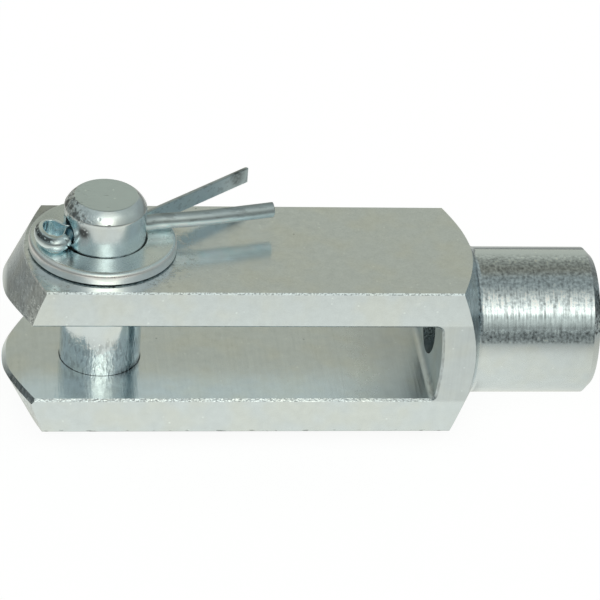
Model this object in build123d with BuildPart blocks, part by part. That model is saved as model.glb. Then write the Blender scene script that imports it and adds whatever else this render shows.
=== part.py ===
from build123d import *

import math
import os

# Clevis rod end: a fork on an M10 rod thread, with its clevis pin, washer and split pin fitted.
# Origin: where the pin's axis crosses the fork's centre line, midway between the two ears.
# +X runs along the fork to its threaded shank, +Z up the pin to the split pin. Millimetres.

# ---------------------------------------------------------------- driving dimensions

# Fork, turned and slotted from square bar
bar_side = 20.0  # the bar's width and height
bar_edge_break = 0.2  # chamfer along the bar's two upper edges
bar_lower_r = 0.5  # rounding along its two lower edges
front_reach = 12.1  # from the pin's axis to the turned front end
shank_reach = 60.0  # from the pin's axis to the end of the shank
nose_flat_d = 11.2  # flat left in the middle of the front end
nose_cone_angle = 30.5  # slope of the front cone, from square
nose_blend_r = 4.0  # rounding between the flat and the cone
shank_d = 17.9
shank_length = 14.9
shank_chamfer = 0.9
shoulder_angle = 29.0  # slope of the cone behind the bar, from square
shoulder_fillet_r = 0.6

# Slot between the ears
slot_width = 10.3
slot_reach = 40.0  # from the pin's axis to the corners of the slot's end
slot_dish = 0.4  # depth of the hollow that the cutter leaves across the slot's end
slot_corner_r = 0.8
slot_edge_break = 0.3
slot_front_break = 0.65  # the same across the lower ear's front

# Rod thread, cut to its major diameter and followed by the tapping hole
thread_d = 10.0
thread_depth = 15.0
thread_lead = 0.75  # taper at the end of the thread
thread_entry = 0.5  # countersink at its mouth
tapping_d = 8.5

# Clevis pin
pin_bore_d = 10.0  # hole through both ears
pin_bore_chamfer = 0.3  # at the outer end of each hole
pin_clearance = 0.07  # radial, in the ears
pin_head_d = 14.0
pin_head_height = 2.0
pin_head_chamfer = 0.5
pin_head_fillet_r = 0.2
pin_head_gap = 0.05  # end play under the lower ear
pin_tip_rise = 4.05  # from the cross hole's axis to the pin's end
pin_tip_flat_d = 7.5
pin_tip_height = 1.45
pin_tip_r = 3.5  # rounding of the tip's slope
pin_tip_blend_r = 0.6  # where the slope meets the pin
pin_tip_edge_r = 0.25  # where it meets the flat
cross_hole_play = 1.05  # how much wider than the split pin's wire pair the hole is
cross_hole_rise = 0.1  # from the washer to the bottom of the hole
cross_hole_chamfer = 0.3
cross_hole_angle = 17.5  # direction of the hole about the pin, from +X

# Washer
washer_d = 17.7
washer_thickness = 1.6
washer_play = 0.32  # radial, round the pin
washer_gap = 0.05  # under the washer
washer_shift_x = -0.15  # where the loose washer lies, off the pin's axis
washer_shift_y = 0.26
washer_upper_r = 0.6  # rounding of its upper outer edge
washer_lower_r = 0.22
washer_inner_chamfer = 0.1

# Split pin, of half-round wire: the two flats face each other
wire_r = 1.05
wire_edge_r = 0.14  # rounding between the wire's flat and its round side
flat_gap = 0.05  # between the two flats where they run side by side
split_pin_gap = 0.03  # over the bottom of the cross hole
split_pin_angle = 16.0  # direction of its legs about the clevis pin, from +X
neck_depth = 0.66  # where the wires part for the eye, inside the clevis pin's surface
neck_inner_r = 0.07  # inside radius of the round side at the neck
neck_turn = 60.0
eye_width = 3.6  # between the flats at the eye's widest
eye_shoulder_r = 0.9
eye_end_length = 1.13  # from the eye's widest place to its closed end
back_leg_bend_depth = 0.82  # where the back leg starts to bend, inside the clevis pin's surface
back_leg_bend_r = 2.5
back_leg_angle = 23.2
back_leg_reach = 17.4  # straight length past its bend
front_leg_bend_rise = 0.97  # where the front leg starts to bend, outside the clevis pin's surface
front_leg_bend_r = 8.0
front_leg_angle = 8.0  # slope of its first stretch
front_leg_first_length = 2.9  # straight between its two bends
front_leg_return_r = 45.0
front_leg_return_angle = 5.5  # how far it bends back after that
front_leg_reach = 6.8  # straight length past both bends
leg_tip_chamfer = 0.1

# ---------------------------------------------------------------- sizes that follow

bar_half = bar_side / 2
slot_half = slot_width / 2
shank_r = shank_d / 2
shank_start = shank_reach - shank_length
blank_r = bar_side  # past the bar's corners, so that the turned blank holds the whole bar
thread_r = thread_d / 2
tapping_r = tapping_d / 2
nose_flat_r = nose_flat_d / 2

pin_bore_r = pin_bore_d / 2
pin_r = pin_bore_r - pin_clearance
pin_head_r = pin_head_d / 2
pin_tip_flat_r = pin_tip_flat_d / 2
head_top = -bar_half - pin_head_gap
head_bottom = head_top - pin_head_height

washer_bottom = bar_half + washer_gap
washer_top = washer_bottom + washer_thickness

cross_hole_r = (2 * wire_r + flat_gap + cross_hole_play) / 2
cross_hole_z = washer_top + cross_hole_rise + cross_hole_r
pin_top = cross_hole_z + pin_tip_rise
split_pin_z = cross_hole_z - cross_hole_r + split_pin_gap + wire_r


# ---------------------------------------------------------------- fork

with BuildPart() as clevis_body:
    # Turned outline: front cone, shoulder cone and shank, still round and larger than the bar
    with BuildSketch(Plane.XY) as turned_profile:
        nose_corner = (-front_reach, nose_flat_r)
        nose_rim = (-front_reach + (blank_r - nose_flat_r) * math.tan(math.radians(nose_cone_angle)), blank_r)
        shoulder_rim = (shank_start - (blank_r - shank_r) * math.tan(math.radians(shoulder_angle)), blank_r)
        shoulder_corner = (shank_start, shank_r)
        with BuildLine():
            Polyline(
                (-front_reach, 0),
                nose_corner,
                nose_rim,
                shoulder_rim,
                shoulder_corner,
                (shank_reach - shank_chamfer, shank_r),
                (shank_reach, shank_r - shank_chamfer),
                (shank_reach, 0),
                close=True,
            )
        make_face()
        fillet(turned_profile.vertices().sort_by_distance(nose_corner)[0], nose_blend_r)
        fillet(turned_profile.vertices().sort_by_distance(shoulder_corner)[0], shoulder_fillet_r)
    revolve(axis=Axis.X)

    # The square bar, kept inside the turned outline
    with BuildSketch(Plane.YZ.offset(-front_reach)) as bar_section:
        Rectangle(bar_side, bar_side)
        bar_corners = bar_section.vertices().group_by(Axis.Y)
        chamfer(bar_corners[-1], bar_edge_break)
        fillet(bar_corners[0], bar_lower_r)
    extrude(amount=front_reach + shank_reach, mode=Mode.INTERSECT)

    # Slot from the front end, with a dished bottom and small corner radii
    with BuildSketch(Plane.XZ) as slot_profile:
        slot_open = -2 * front_reach
        with BuildLine():
            Line((slot_reach, -slot_half), (slot_open, -slot_half))
            Line((slot_open, -slot_half), (slot_open, slot_half))
            Line((slot_open, slot_half), (slot_reach, slot_half))
            ThreePointArc((slot_reach, slot_half), (slot_reach + slot_dish, 0), (slot_reach, -slot_half))
        make_face()
        fillet(slot_profile.vertices().sort_by(Axis.X)[-2:], slot_corner_r)
    extrude(amount=bar_side, both=True, mode=Mode.SUBTRACT)

    # Broken edges all along the slot's mouth, on the ears and round the slot's end
    lower_front = clevis_body.edges().filter_by_position(Axis.Z, -slot_half, -slot_half)
    lower_front = lower_front.filter_by_position(Axis.X, slot_open, 0)
    chamfer(lower_front.filter_by(GeomType.HYPERBOLA), slot_front_break)
    slot_edges = clevis_body.edges().filter_by_position(Axis.Z, -slot_half, slot_half)
    slot_edges = slot_edges.filter_by_position(Axis.X, slot_open, slot_reach + slot_dish)
    lower_front = slot_edges.filter_by_position(Axis.X, slot_open, 0).filter_by_position(Axis.Z, -slot_half, 0)
    lower_front = lower_front.filter_by(Axis.X, reverse=True)
    chamfer(slot_edges.filter_by(Axis.Y, reverse=True) - lower_front, slot_edge_break)

    # Pin bore through both ears
    with Locations(Plane.XY.offset(bar_half)):
        Hole(radius=pin_bore_r)
    bore_edges = clevis_body.edges().filter_by(GeomType.CIRCLE).filter_by(
        lambda edge: math.isclose(edge.radius, pin_bore_r)).sort_by(Axis.Z)
    chamfer([bore_edges[0], bore_edges[-1]], pin_bore_chamfer)

    # Rod thread and tapping hole, from the end of the shank through to the slot
    with BuildSketch(Plane.XY) as thread_profile:
        with BuildLine():
            Polyline(
                (slot_reach - slot_dish, 0),
                (slot_reach - slot_dish, tapping_r),
                (shank_reach - thread_depth, tapping_r),
                (shank_reach - thread_depth + thread_lead, thread_r),
                (shank_reach - thread_entry, thread_r),
                (shank_reach, thread_r + thread_entry),
                (shank_reach, 0),
                close=True,
            )
        make_face()
    revolve(axis=Axis.X, mode=Mode.SUBTRACT)

clevis_body.part.label = "clevis_body"


# ---------------------------------------------------------------- clevis pin

with BuildPart() as clevis_pin:
    # Head under the lower ear, plain shank and a blunt, rounded tip
    with BuildSketch(Plane.XZ) as pin_profile:
        neck_corner = (pin_r, head_top)
        tip_foot = (pin_r, pin_top - pin_tip_height)
        tip_edge = (pin_tip_flat_r, pin_top)
        with BuildLine():
            Polyline(
                tip_edge,
                (0, pin_top),
                (0, head_bottom),
                (pin_head_r - pin_head_chamfer, head_bottom),
                (pin_head_r, head_bottom + pin_head_chamfer),
                (pin_head_r, head_top),
                neck_corner,
                tip_foot,
            )
            RadiusArc(tip_foot, tip_edge, -pin_tip_r)
        make_face()
        fillet(pin_profile.vertices().sort_by_distance(neck_corner)[0], pin_head_fillet_r)
        fillet(pin_profile.vertices().sort_by_distance(tip_foot)[0], pin_tip_blend_r)
        fillet(pin_profile.vertices().sort_by_distance(tip_edge)[0], pin_tip_edge_r)
    revolve(axis=Axis.Z)

    # Cross hole for the split pin, with chamfered rims
    hole_angle = math.radians(cross_hole_angle)
    hole_direction = (math.cos(hole_angle), math.sin(hole_angle), 0)
    rims_before = clevis_pin.edges()
    with Locations(Plane(origin=(0, 0, cross_hole_z), z_dir=hole_direction)):
        Hole(radius=cross_hole_r)
    rims = clevis_pin.edges() - rims_before
    chamfer(rims.filter_by_position(Axis.Z, cross_hole_z - cross_hole_r, cross_hole_z + cross_hole_r)
            .filter_by(lambda edge: edge.geom_type != GeomType.LINE), cross_hole_chamfer)

clevis_pin.part.label = "clevis_pin"


# ---------------------------------------------------------------- washer

with BuildPart() as washer:
    with BuildSketch(Plane.XY.offset(washer_bottom)):
        with Locations((washer_shift_x, washer_shift_y)):
            Circle(washer_d / 2)
            Circle(pin_r + washer_play, mode=Mode.SUBTRACT)
    extrude(amount=washer_thickness)
    rings = washer.edges().filter_by(GeomType.CIRCLE).sort_by(SortBy.RADIUS)
    outer_rings = rings[-2:].sort_by(Axis.Z)
    fillet(outer_rings[-1], washer_upper_r)
    fillet(outer_rings[0], washer_lower_r)
    chamfer(rings[:2], washer_inner_chamfer)

washer.part.label = "washer"


# ---------------------------------------------------------------- split pin

# The wire's flat side follows one flat path: front leg, eye and back leg. Local x runs along the
# legs from the clevis pin's axis, local y to the back leg's side.
split_plane = Plane(
    origin=(0, 0, split_pin_z),
    x_dir=(math.cos(math.radians(split_pin_angle)), math.sin(math.radians(split_pin_angle)), 0),
    z_dir=(0, 0, 1),
)
flat_half_gap = flat_gap / 2
neck_r = wire_r + neck_inner_r
eye_half = eye_width / 2
turn = math.radians(neck_turn)
shoulder_rise = (neck_r + eye_shoulder_r) * (1 - math.cos(turn))
neck_run = (eye_half - flat_half_gap - shoulder_rise) / math.sin(turn)
# The eye's closed end is one arc, tangent to both shoulders
end_slope = 90 - 2 * math.degrees(math.atan((eye_end_length - eye_shoulder_r) / (eye_half - eye_shoulder_r)))
eye_end_r = eye_shoulder_r + (eye_half - eye_shoulder_r) / math.cos(math.radians(end_slope))

with BuildPart() as split_pin:
    with BuildLine(split_plane):
        neck_x = neck_depth - pin_r
        back_bend_x = pin_r - back_leg_bend_depth
        front_bend_x = pin_r + front_leg_bend_rise
        front_side = Line((front_bend_x, -flat_half_gap), (neck_x, -flat_half_gap))
        front_neck = JernArc(front_side @ 1, front_side % 1, neck_r, neck_turn)
        front_run = Line(front_neck @ 1, front_neck @ 1 + (front_neck % 1) * neck_run)
        front_shoulder = JernArc(front_run @ 1, front_run % 1, eye_shoulder_r, -neck_turn - end_slope)
        eye_end = JernArc(front_shoulder @ 1, front_shoulder % 1, eye_end_r, 2 * end_slope - 180)
        back_shoulder = JernArc(eye_end @ 1, eye_end % 1, eye_shoulder_r, -neck_turn - end_slope)
        back_run = Line(back_shoulder @ 1, back_shoulder @ 1 + (back_shoulder % 1) * neck_run)
        back_neck = JernArc(back_run @ 1, back_run % 1, neck_r, neck_turn)
        back_side = Line(back_neck @ 1, (back_bend_x, flat_half_gap))
        back_bend = JernArc(back_side @ 1, back_side % 1, back_leg_bend_r, back_leg_angle)
        back_leg = Line(back_bend @ 1, back_bend @ 1 + (back_bend % 1) * back_leg_reach)
        front_bend = JernArc(front_side @ 0, -(front_side % 0), front_leg_bend_r, -front_leg_angle)
        front_first = Line(front_bend @ 1, front_bend @ 1 + (front_bend % 1) * front_leg_first_length)
        front_return = JernArc(front_first @ 1, front_first % 1, front_leg_return_r, front_leg_return_angle)
        Line(front_return @ 1, front_return @ 1 + (front_return % 1) * front_leg_reach)
    with BuildSketch(Plane(origin=back_leg @ 1, x_dir=(0, 0, 1), z_dir=back_leg % 1)) as wire_section:
        with BuildLine():
            CenterArc((0, 0), wire_r, 180, 180)
            Line((wire_r, 0), (-wire_r, 0))
        make_face()
        fillet(wire_section.vertices(), wire_edge_r)
    sweep()
    chamfer(split_pin.faces().sort_by(Axis.X)[-2:].edges(), leg_tip_chamfer)

split_pin.part.label = "split_pin"


# ---------------------------------------------------------------- files

os.makedirs("parts", exist_ok=True)
export_step(clevis_body.part, "parts/clevis_body.step")
export_step(clevis_pin.part, "parts/clevis_pin.step")
export_step(washer.part, "parts/washer.step")
export_step(split_pin.part, "parts/split_pin.step")
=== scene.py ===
"""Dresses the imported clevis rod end: steel finishes, the rod thread's ridges, and the studio."""

import logging
import math
from dataclasses import dataclass, field
from enum import Enum

import bpy
from mathutils import Matrix, Vector


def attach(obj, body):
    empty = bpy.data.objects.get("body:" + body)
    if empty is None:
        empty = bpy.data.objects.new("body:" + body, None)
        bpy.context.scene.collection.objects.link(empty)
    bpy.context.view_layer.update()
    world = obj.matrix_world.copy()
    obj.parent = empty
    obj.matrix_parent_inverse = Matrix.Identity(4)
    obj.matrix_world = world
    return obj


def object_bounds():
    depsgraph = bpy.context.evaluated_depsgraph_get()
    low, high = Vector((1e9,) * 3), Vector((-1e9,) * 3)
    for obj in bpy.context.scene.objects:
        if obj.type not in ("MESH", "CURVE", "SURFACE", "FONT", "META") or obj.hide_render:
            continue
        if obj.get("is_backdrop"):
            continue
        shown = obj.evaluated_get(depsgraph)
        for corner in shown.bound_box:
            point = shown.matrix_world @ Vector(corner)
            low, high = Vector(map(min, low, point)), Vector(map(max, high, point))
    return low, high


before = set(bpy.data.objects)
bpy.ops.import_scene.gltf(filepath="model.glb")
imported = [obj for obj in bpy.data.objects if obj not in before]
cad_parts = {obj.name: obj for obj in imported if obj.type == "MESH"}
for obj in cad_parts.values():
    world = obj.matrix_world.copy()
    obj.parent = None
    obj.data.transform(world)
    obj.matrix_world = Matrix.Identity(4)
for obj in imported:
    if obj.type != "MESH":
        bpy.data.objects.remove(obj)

MM = 0.001
MERGE_DISTANCE = 0.001 * MM
LOG = logging.getLogger("clevis_rod_end")

Colour = tuple[float, float, float]
Point = tuple[float, float, float]
Size = float | Point  # a feature's length, or its lengths along X, Y and Z
Levels = tuple[tuple[float, float], ...]
Step = tuple[float, ...]  # a value's two ends, then the results there if they aren't 0 and 1
Specks = tuple[float, float, float]  # spacing, radius, and the share of the specks that is there
Ball = tuple[Point, float]  # a centre and a reach
Socket = bpy.types.NodeSocket

WHITE = (1.0, 1.0, 1.0)
SPECK_CORE = 0.4  # the share of a speck's radius over which it is at full strength
BALL_CORE = 0.3  # the same for the reach of a ball


# ---------------------------------------------------------------- node graphs


class Graph:
    """Writes a shader node tree in short, readable calls."""

    def __init__(self, tree: bpy.types.NodeTree) -> None:
        """Empties the tree and keeps it.

        Args:
            tree: the node tree of a material or of the world.
        """
        self.tree = tree
        self.tree.nodes.clear()

    def node(self, kind: str, inputs: dict | None = None, **settings) -> bpy.types.Node:
        """Adds a node.

        Args:
            kind: the node's type name, without its ShaderNode start.
            inputs: values or output sockets for its inputs, by name or number.
            settings: the node's own settings.

        Returns:
            The new node.
        """
        made = self.tree.nodes.new("ShaderNode" + kind)
        for name, value in settings.items():
            setattr(made, name, value)
        for key, value in (inputs or {}).items():
            self.plug(made.inputs[key], value)
        return made

    def plug(self, socket: Socket, value: object) -> None:
        """Links a socket to another, or sets its value.

        Args:
            socket: the input.
            value: an output to link to it, or its new value.
        """
        if isinstance(value, bpy.types.NodeSocket):
            self.tree.links.new(value, socket)
        else:
            socket.default_value = value

    def math(self, operation: str, *values: object) -> Socket:
        """Adds a Math node.

        Args:
            operation: what it does.
            values: its inputs.

        Returns:
            Its result.
        """
        made = self.node("Math", operation=operation)
        for socket, value in zip(made.inputs, values):
            self.plug(socket, value)
        return made.outputs[0]

    def span(self, value: Socket, low: float, high: float,
             start: float = 0.0, end: float = 1.0) -> Socket:
        """Turns a number smoothly into its place between two others, and clamps it.

        Args:
            value: the number.
            low: where the result is start.
            high: where the result is end.
            start: the result up to low.
            end: the result from high on.

        Returns:
            The result, from start to end.
        """
        made = self.node("MapRange", interpolation_type="SMOOTHSTEP")
        for name, given in (("Value", value), ("From Min", low), ("From Max", high),
                            ("To Min", start), ("To Max", end)):
            self.plug(made.inputs[name], given)
        return made.outputs["Result"]

    def between(self, value: Socket, one: Step, other: Step) -> Socket:
        """Returns the product of a value's results in two steps, as of a band's two sides."""
        return self.times(self.span(value, *one), self.span(value, *other))

    def mix(self, factor: object, a: object, b: object) -> Socket:
        """Turns one colour into another.

        Args:
            factor: 0 for a, and 1 for b.
            a: the first colour.
            b: the second colour.

        Returns:
            The mixed colour.
        """
        made = self.node("Mix", data_type="RGBA")
        for number, given in ((0, factor), (6, a), (7, b)):
            self.plug(made.inputs[number], given)
        return made.outputs[2]

    def add(self, *values: object) -> Socket:
        """Adds up numbers.

        Args:
            values: two or more numbers.

        Returns:
            Their sum.
        """
        total = values[0]
        for value in values[1:]:
            total = self.math("ADD", total, value)
        return total

    def times(self, *values: object) -> Socket:
        """Multiplies numbers.

        Args:
            values: two or more numbers.

        Returns:
            Their product.
        """
        total = values[0]
        for value in values[1:]:
            total = self.math("MULTIPLY", total, value)
        return total

    def most(self, a: Socket, b: Socket) -> Socket:
        """Returns the greater of two numbers."""
        return self.math("MAXIMUM", a, b)

    def unsigned(self, value: Socket) -> Socket:
        """Returns the number without its sign."""
        return self.math("ABSOLUTE", value)

    def inverse(self, value: Socket) -> Socket:
        """Returns 1 less the number."""
        return self.math("SUBTRACT", 1.0, value)

    def distance(self, a: Socket, b: Socket) -> Socket:
        """Returns the length of the hypotenuse over two numbers."""
        return self.math("SQRT", self.add(self.times(a, a), self.times(b, b)))

    def parts(self, vector: Socket) -> tuple[Socket, Socket, Socket]:
        """Returns a vector's X, Y and Z."""
        return tuple(self.node("SeparateXYZ", {0: vector}).outputs)

    def scaled(self, vector: Socket, factor: object) -> Socket:
        """Returns a vector or a colour times a number."""
        return self.node("VectorMath", {0: vector, "Scale": factor}, operation="SCALE").outputs[0]

    def ramp(self, value: Socket, levels: Levels, tint: Colour = WHITE) -> Socket:
        """Reads a colour ramp.

        Args:
            value: where to read it, from 0 to 1.
            levels: pairs of a place, from 0 to 1, and the level there.
            tint: the colour of level 1.

        Returns:
            The colour at that value.
        """
        made = self.node("ValToRGB", {"Fac": value})
        stops = made.color_ramp.elements
        while len(stops) < len(levels):
            stops.new(0.5)
        for stop, (place, level) in zip(stops, levels):
            stop.position = place
            stop.color = rgba(tint, level)
        return made.outputs["Color"]

    def stretched(self, place: Socket, size: Size) -> Socket:
        """Returns place divided by a feature's size."""
        sizes = size if isinstance(size, tuple) else (size,) * 3
        return self.node("VectorMath", {0: place, 1: sizes}, operation="DIVIDE").outputs[0]

    def noise(self, place: Socket, size: Size, detail: float = 2.0,
              roughness: float = 0.5) -> Socket:
        """Returns noise from 0 to 1 whose features have the given size."""
        return self.node("TexNoise", {"Vector": self.stretched(place, size), "Scale": 1.0,
                                      "Detail": detail, "Roughness": roughness}).outputs["Fac"]

    def patches(self, place: Socket, size: Size, edge: Step, detail: float = 2.0,
                roughness: float = 0.5) -> Socket:
        """Returns a mask of ragged patches: noise read through a step."""
        return self.span(self.noise(place, size, detail, roughness), *edge)

    def ripple(self, place: Socket, size: Size, detail: float = 2.0) -> Socket:
        """Returns noise from about -1 to 1 whose features have the given size."""
        return self.math("MULTIPLY_ADD", self.noise(place, size, detail), 2.0, -1.0)

    def specks(self, place: Socket, spacing: float, size: float, share: float) -> Socket:
        """Returns a mask of scattered specks.

        Args:
            place: where the point is.
            spacing: about how far apart the specks could lie.
            size: a speck's radius.
            share: how many of the possible specks there are, from 0 to 1.

        Returns:
            1 in a speck and 0 elsewhere.
        """
        cells = self.node("TexVoronoi", {"Vector": self.stretched(place, spacing), "Scale": 1.0})
        drawn = self.node("SeparateColor", {0: cells.outputs["Color"]}).outputs[0]
        chosen = self.math("LESS_THAN", drawn, share)
        near = self.span(cells.outputs["Distance"], size / spacing, SPECK_CORE * size / spacing)
        return self.times(chosen, near)

    def near(self, place: Socket, centre: Point, reach: float) -> Socket:
        """Returns 1 at a place's centre, falling softly to 0 at a given reach from it."""
        away = self.node("VectorMath", {0: place, 1: centre}, operation="DISTANCE")
        return self.span(away.outputs["Value"], reach, BALL_CORE * reach)


@dataclass(frozen=True)
class Spot:
    """Where a shaded point is, in millimetres, and which way it faces, in the part's own frame."""

    place: Socket
    x: Socket
    y: Socket
    z: Socket
    facing_x: Socket
    facing_y: Socket
    facing_z: Socket

    @staticmethod
    def of(graph: Graph) -> "Spot":
        """Reads the point from the object's own coordinates.

        Args:
            graph: the material's graph.

        Returns:
            The point's sockets.
        """
        source = graph.node("TexCoord")
        place = graph.scaled(source.outputs["Object"], 1 / MM)
        return Spot(place, *graph.parts(place), *graph.parts(source.outputs["Normal"]))


def rgba(colour: Colour, level: float = 1.0) -> tuple[float, float, float, float]:
    """Returns a colour times a level, with full alpha."""
    return (colour[0] * level, colour[1] * level, colour[2] * level, 1.0)


# ---------------------------------------------------------------- finishes


class ToolMark(Enum):
    """The lines a tool leaves: their lengths along X, Y and Z, and their height, in millimetres."""

    DRAWN = ((5.0, 0.16, 0.16), 0.0012)
    MILLED = ((0.30, 9.0, 0.5), 0.0080)
    TURNED = ((0.22, 3.0, 3.0), 0.0070)
    WIRE = ((3.0, 0.7, 0.14), 0.0015)
    RINGS = ((2.5, 2.5, 0.14), 0.0018)
    TORN = ((0.9, 0.9, 0.16), 0.0060)

    def on(self, graph: Graph, place: Socket) -> Socket:
        """Returns the height that these lines add at a place."""
        size, height = self.value
        return graph.times(graph.ripple(place, size), height)


@dataclass(frozen=True)
class PlatedSteel:
    """Bright zinc on steel, whose tool marks and knocks still show through it.

    Lengths and heights are in millimetres. A gain says how much lighter than the plating round it
    a mark is, and a lift how much it adds to the roughness.
    """

    name: str
    tint: Colour = (0.775, 0.855, 0.895)
    warm_tint: Colour = (0.825, 0.858, 0.790)
    warm_share: float = 0.4
    drift_size: Size = 5.0
    drift: Step = (0.42, 0.68)
    cloud_size: Size = 1.1
    cloud_gain: float = 0.07
    mottle_size: Size = 0.26
    mottle_up: Step = (0.5, 0.9, 0.4, 1.0)
    mottle_z: Step = (4.0, 6.0, 0.3, 1.0)
    mottle_gain: float = 0.09
    grain: float = 0.0015
    grain_size: Size = 0.20
    swell: float = 0.003
    swell_size: Size = 3.0
    gloss: float = 0.17
    haze: Step = (-0.02, 0.04)
    haze_size: Size = 1.3
    haze_noise: Step = (0.25, 0.75)

    def colour(self, graph: Graph, spot: Spot) -> Socket:
        """Works out the plating's colour, which drifts a little from place to place.

        Args:
            graph: the material's graph.
            spot: the shaded point.

        Returns:
            The colour.
        """
        drift = graph.patches(spot.place, self.drift_size, self.drift)
        base = graph.mix(graph.times(drift, self.warm_share), rgba(self.tint), rgba(self.warm_tint))
        cloud = graph.ripple(spot.place, self.cloud_size, detail=3.0)
        mottle = graph.times(graph.ripple(spot.place, self.mottle_size),
                             graph.span(spot.facing_z, *self.mottle_up),
                             graph.span(spot.z, *self.mottle_z))
        return graph.scaled(base, graph.add(1.0, graph.times(cloud, self.cloud_gain),
                                            graph.times(mottle, self.mottle_gain)))

    def height(self, graph: Graph, spot: Spot) -> Socket:
        """Works out the surface's height over its smooth form.

        Args:
            graph: the material's graph.
            spot: the shaded point.

        Returns:
            The height.
        """
        grain = graph.ripple(spot.place, self.grain_size, detail=3.0)
        swell = graph.ripple(spot.place, self.swell_size, detail=1.0)
        return graph.add(graph.times(grain, self.grain), graph.times(swell, self.swell))

    def roughness(self, graph: Graph, spot: Spot) -> Socket:
        """Returns the surface's roughness."""
        cloud = graph.noise(spot.place, self.haze_size, detail=3.0)
        return graph.span(cloud, *self.haze_noise, *(self.gloss + change for change in self.haze))

    def build(self) -> bpy.types.Material:
        """Makes the material.

        Returns:
            The finished material.
        """
        made = bpy.data.materials.new(self.name)
        made.use_nodes = True
        graph = Graph(made.node_tree)
        spot = Spot.of(graph)
        height = graph.times(self.height(graph, spot), MM)
        bump = graph.node("Bump", {"Height": height, "Distance": 1.0, "Strength": 1.0})
        shader = graph.node("BsdfPrincipled", {
            "Base Color": self.colour(graph, spot),
            "Metallic": 1.0,
            "Roughness": self.roughness(graph, spot),
            "Normal": bump.outputs[0],
        })
        graph.node("OutputMaterial", {"Surface": shader.outputs[0]})
        return made


@dataclass(frozen=True)
class TurnedShank:
    """The fork's turned shank, with painted reflections: painted sparkle along its lines, strongest
    on its front and weaker on its top, cool tints and dark bands.
    """

    x: Step = (44.5, 44.9)
    # Painted reflection tints, by the way the surface faces
    tint: Colour = (0.780, 0.860, 0.900)
    top_tint: Colour = (0.780, 0.890, 0.965)
    low_tint: Colour = (0.750, 0.880, 0.950)
    tinted_up: Step = (0.16, 0.30)
    top_tint_y: Step = (-0.26, -0.14)
    low_tint_up: Step = (0.65, 0.55)
    relief_up: Step = (0.19, 0.24)
    marked_up: Step = (0.22, 0.27)
    # How strong the turned lines' painted sparkle and relief are, by which way the surface faces
    lines_y: Step = (0.05, -0.20, 0.0, 0.20)
    lines_front_y: Step = (-0.46, -0.68, 1.0, 4.6)
    lines_up: Step = (0.52, 0.60, 0.35, 1.0)
    lines_size: Size = (0.24, 2.6, 2.6)
    lines_gain: float = 0.9
    grain_size: Size = (0.36, 0.38, 0.38)
    grain_y: Step = (0.15, -0.05)
    grain_front_y: Step = (-0.86, -0.70, 0.12, 0.80)
    grain_up: Step = (0.45, 0.38, 0.0, 0.90)
    # Painted dark reflections in bands along it: the first under one step, the rest within two,
    # with their gain last
    low_band_up: Step = (0.46, 0.38, 0.0, -0.26)
    upper_band_y: tuple[Step, Step, float] = ((-0.12, -0.22), (-0.62, -0.45), -0.11)
    front_band_up: tuple[Step, Step, float] = ((0.63, 0.56), (0.40, 0.45), -0.46)
    wide_band_y: tuple[Step, Step, float] = ((-0.62, -0.30), (0.15, 0.0), -0.14)
    speckle_size: Size = (0.15, 0.20, 0.20)
    speckle_height: float = 0.0035

    def on(self, graph: Graph, spot: Spot) -> Socket:
        """Returns 1 on the shank and 0 elsewhere."""
        return graph.span(spot.x, *self.x)

    def tinted(self, graph: Graph, spot: Spot, base: Socket) -> Socket:
        """Turns a base colour into the shank's painted reflection tints, by the way it faces, on
        the shank.

        Args:
            graph: the material's graph.
            spot: the shaded point.
            base: the plating's colour elsewhere.

        Returns:
            The colour.
        """
        cool = graph.times(self.on(graph, spot), graph.span(spot.facing_z, *self.tinted_up))
        base = graph.mix(cool, base, rgba(self.tint))
        top = graph.times(cool, graph.span(spot.facing_y, *self.top_tint_y))
        base = graph.mix(top, base, rgba(self.top_tint))
        low = graph.times(cool, graph.span(spot.facing_z, *self.low_tint_up))
        return graph.mix(low, base, rgba(self.low_tint))

    def lined(self, graph: Graph, spot: Spot) -> Socket:
        """Returns how strong the turned lines' painted sparkle and relief are: fainter on the top
        and on the lower front.
        """
        return graph.times(graph.between(spot.facing_y, self.lines_y, self.lines_front_y),
                           graph.span(spot.facing_z, *self.lines_up))

    def band(self, graph: Graph, facing: Socket, edges: tuple[Step, Step, float]) -> Socket:
        """Returns the gain in a band of painted dark reflection and 0 outside it."""
        one, other, gain = edges
        return graph.times(graph.between(facing, one, other), gain)

    def gain(self, graph: Graph, spot: Spot) -> Socket:
        """Adds up the painted sparkle of the shank's lines and grains, and its bands of painted
        dark reflection.

        Args:
            graph: the material's graph.
            spot: the shaded point.

        Returns:
            The gain, which is 0 off the shank.
        """
        lines = graph.times(graph.ripple(spot.place, self.lines_size, detail=1.0),
                            self.lines_gain, self.lined(graph, spot))
        grained = graph.add(graph.between(spot.facing_y, self.grain_y, self.grain_front_y),
                            graph.span(spot.facing_z, *self.grain_up))
        grains = graph.times(graph.ripple(spot.place, self.grain_size), grained)
        bands = graph.add(graph.span(spot.facing_z, *self.low_band_up),
                          self.band(graph, spot.facing_y, self.upper_band_y),
                          self.band(graph, spot.facing_z, self.front_band_up),
                          self.band(graph, spot.facing_y, self.wide_band_y))
        return graph.times(self.on(graph, spot), graph.span(spot.facing_z, *self.marked_up),
                           graph.add(lines, grains, bands))

    def relief(self, graph: Graph, spot: Spot) -> Socket:
        """Returns how strongly the shank's relief shows, from 0 off the shank and under it."""
        return graph.times(self.on(graph, spot), graph.span(spot.facing_z, *self.relief_up),
                           self.lined(graph, spot))

    def speckle(self, graph: Graph, spot: Spot) -> Socket:
        """Returns the height of the fine specks between the turned lines."""
        return graph.times(graph.ripple(spot.place, self.speckle_size), self.speckle_height,
                           self.relief(graph, spot))


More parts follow.
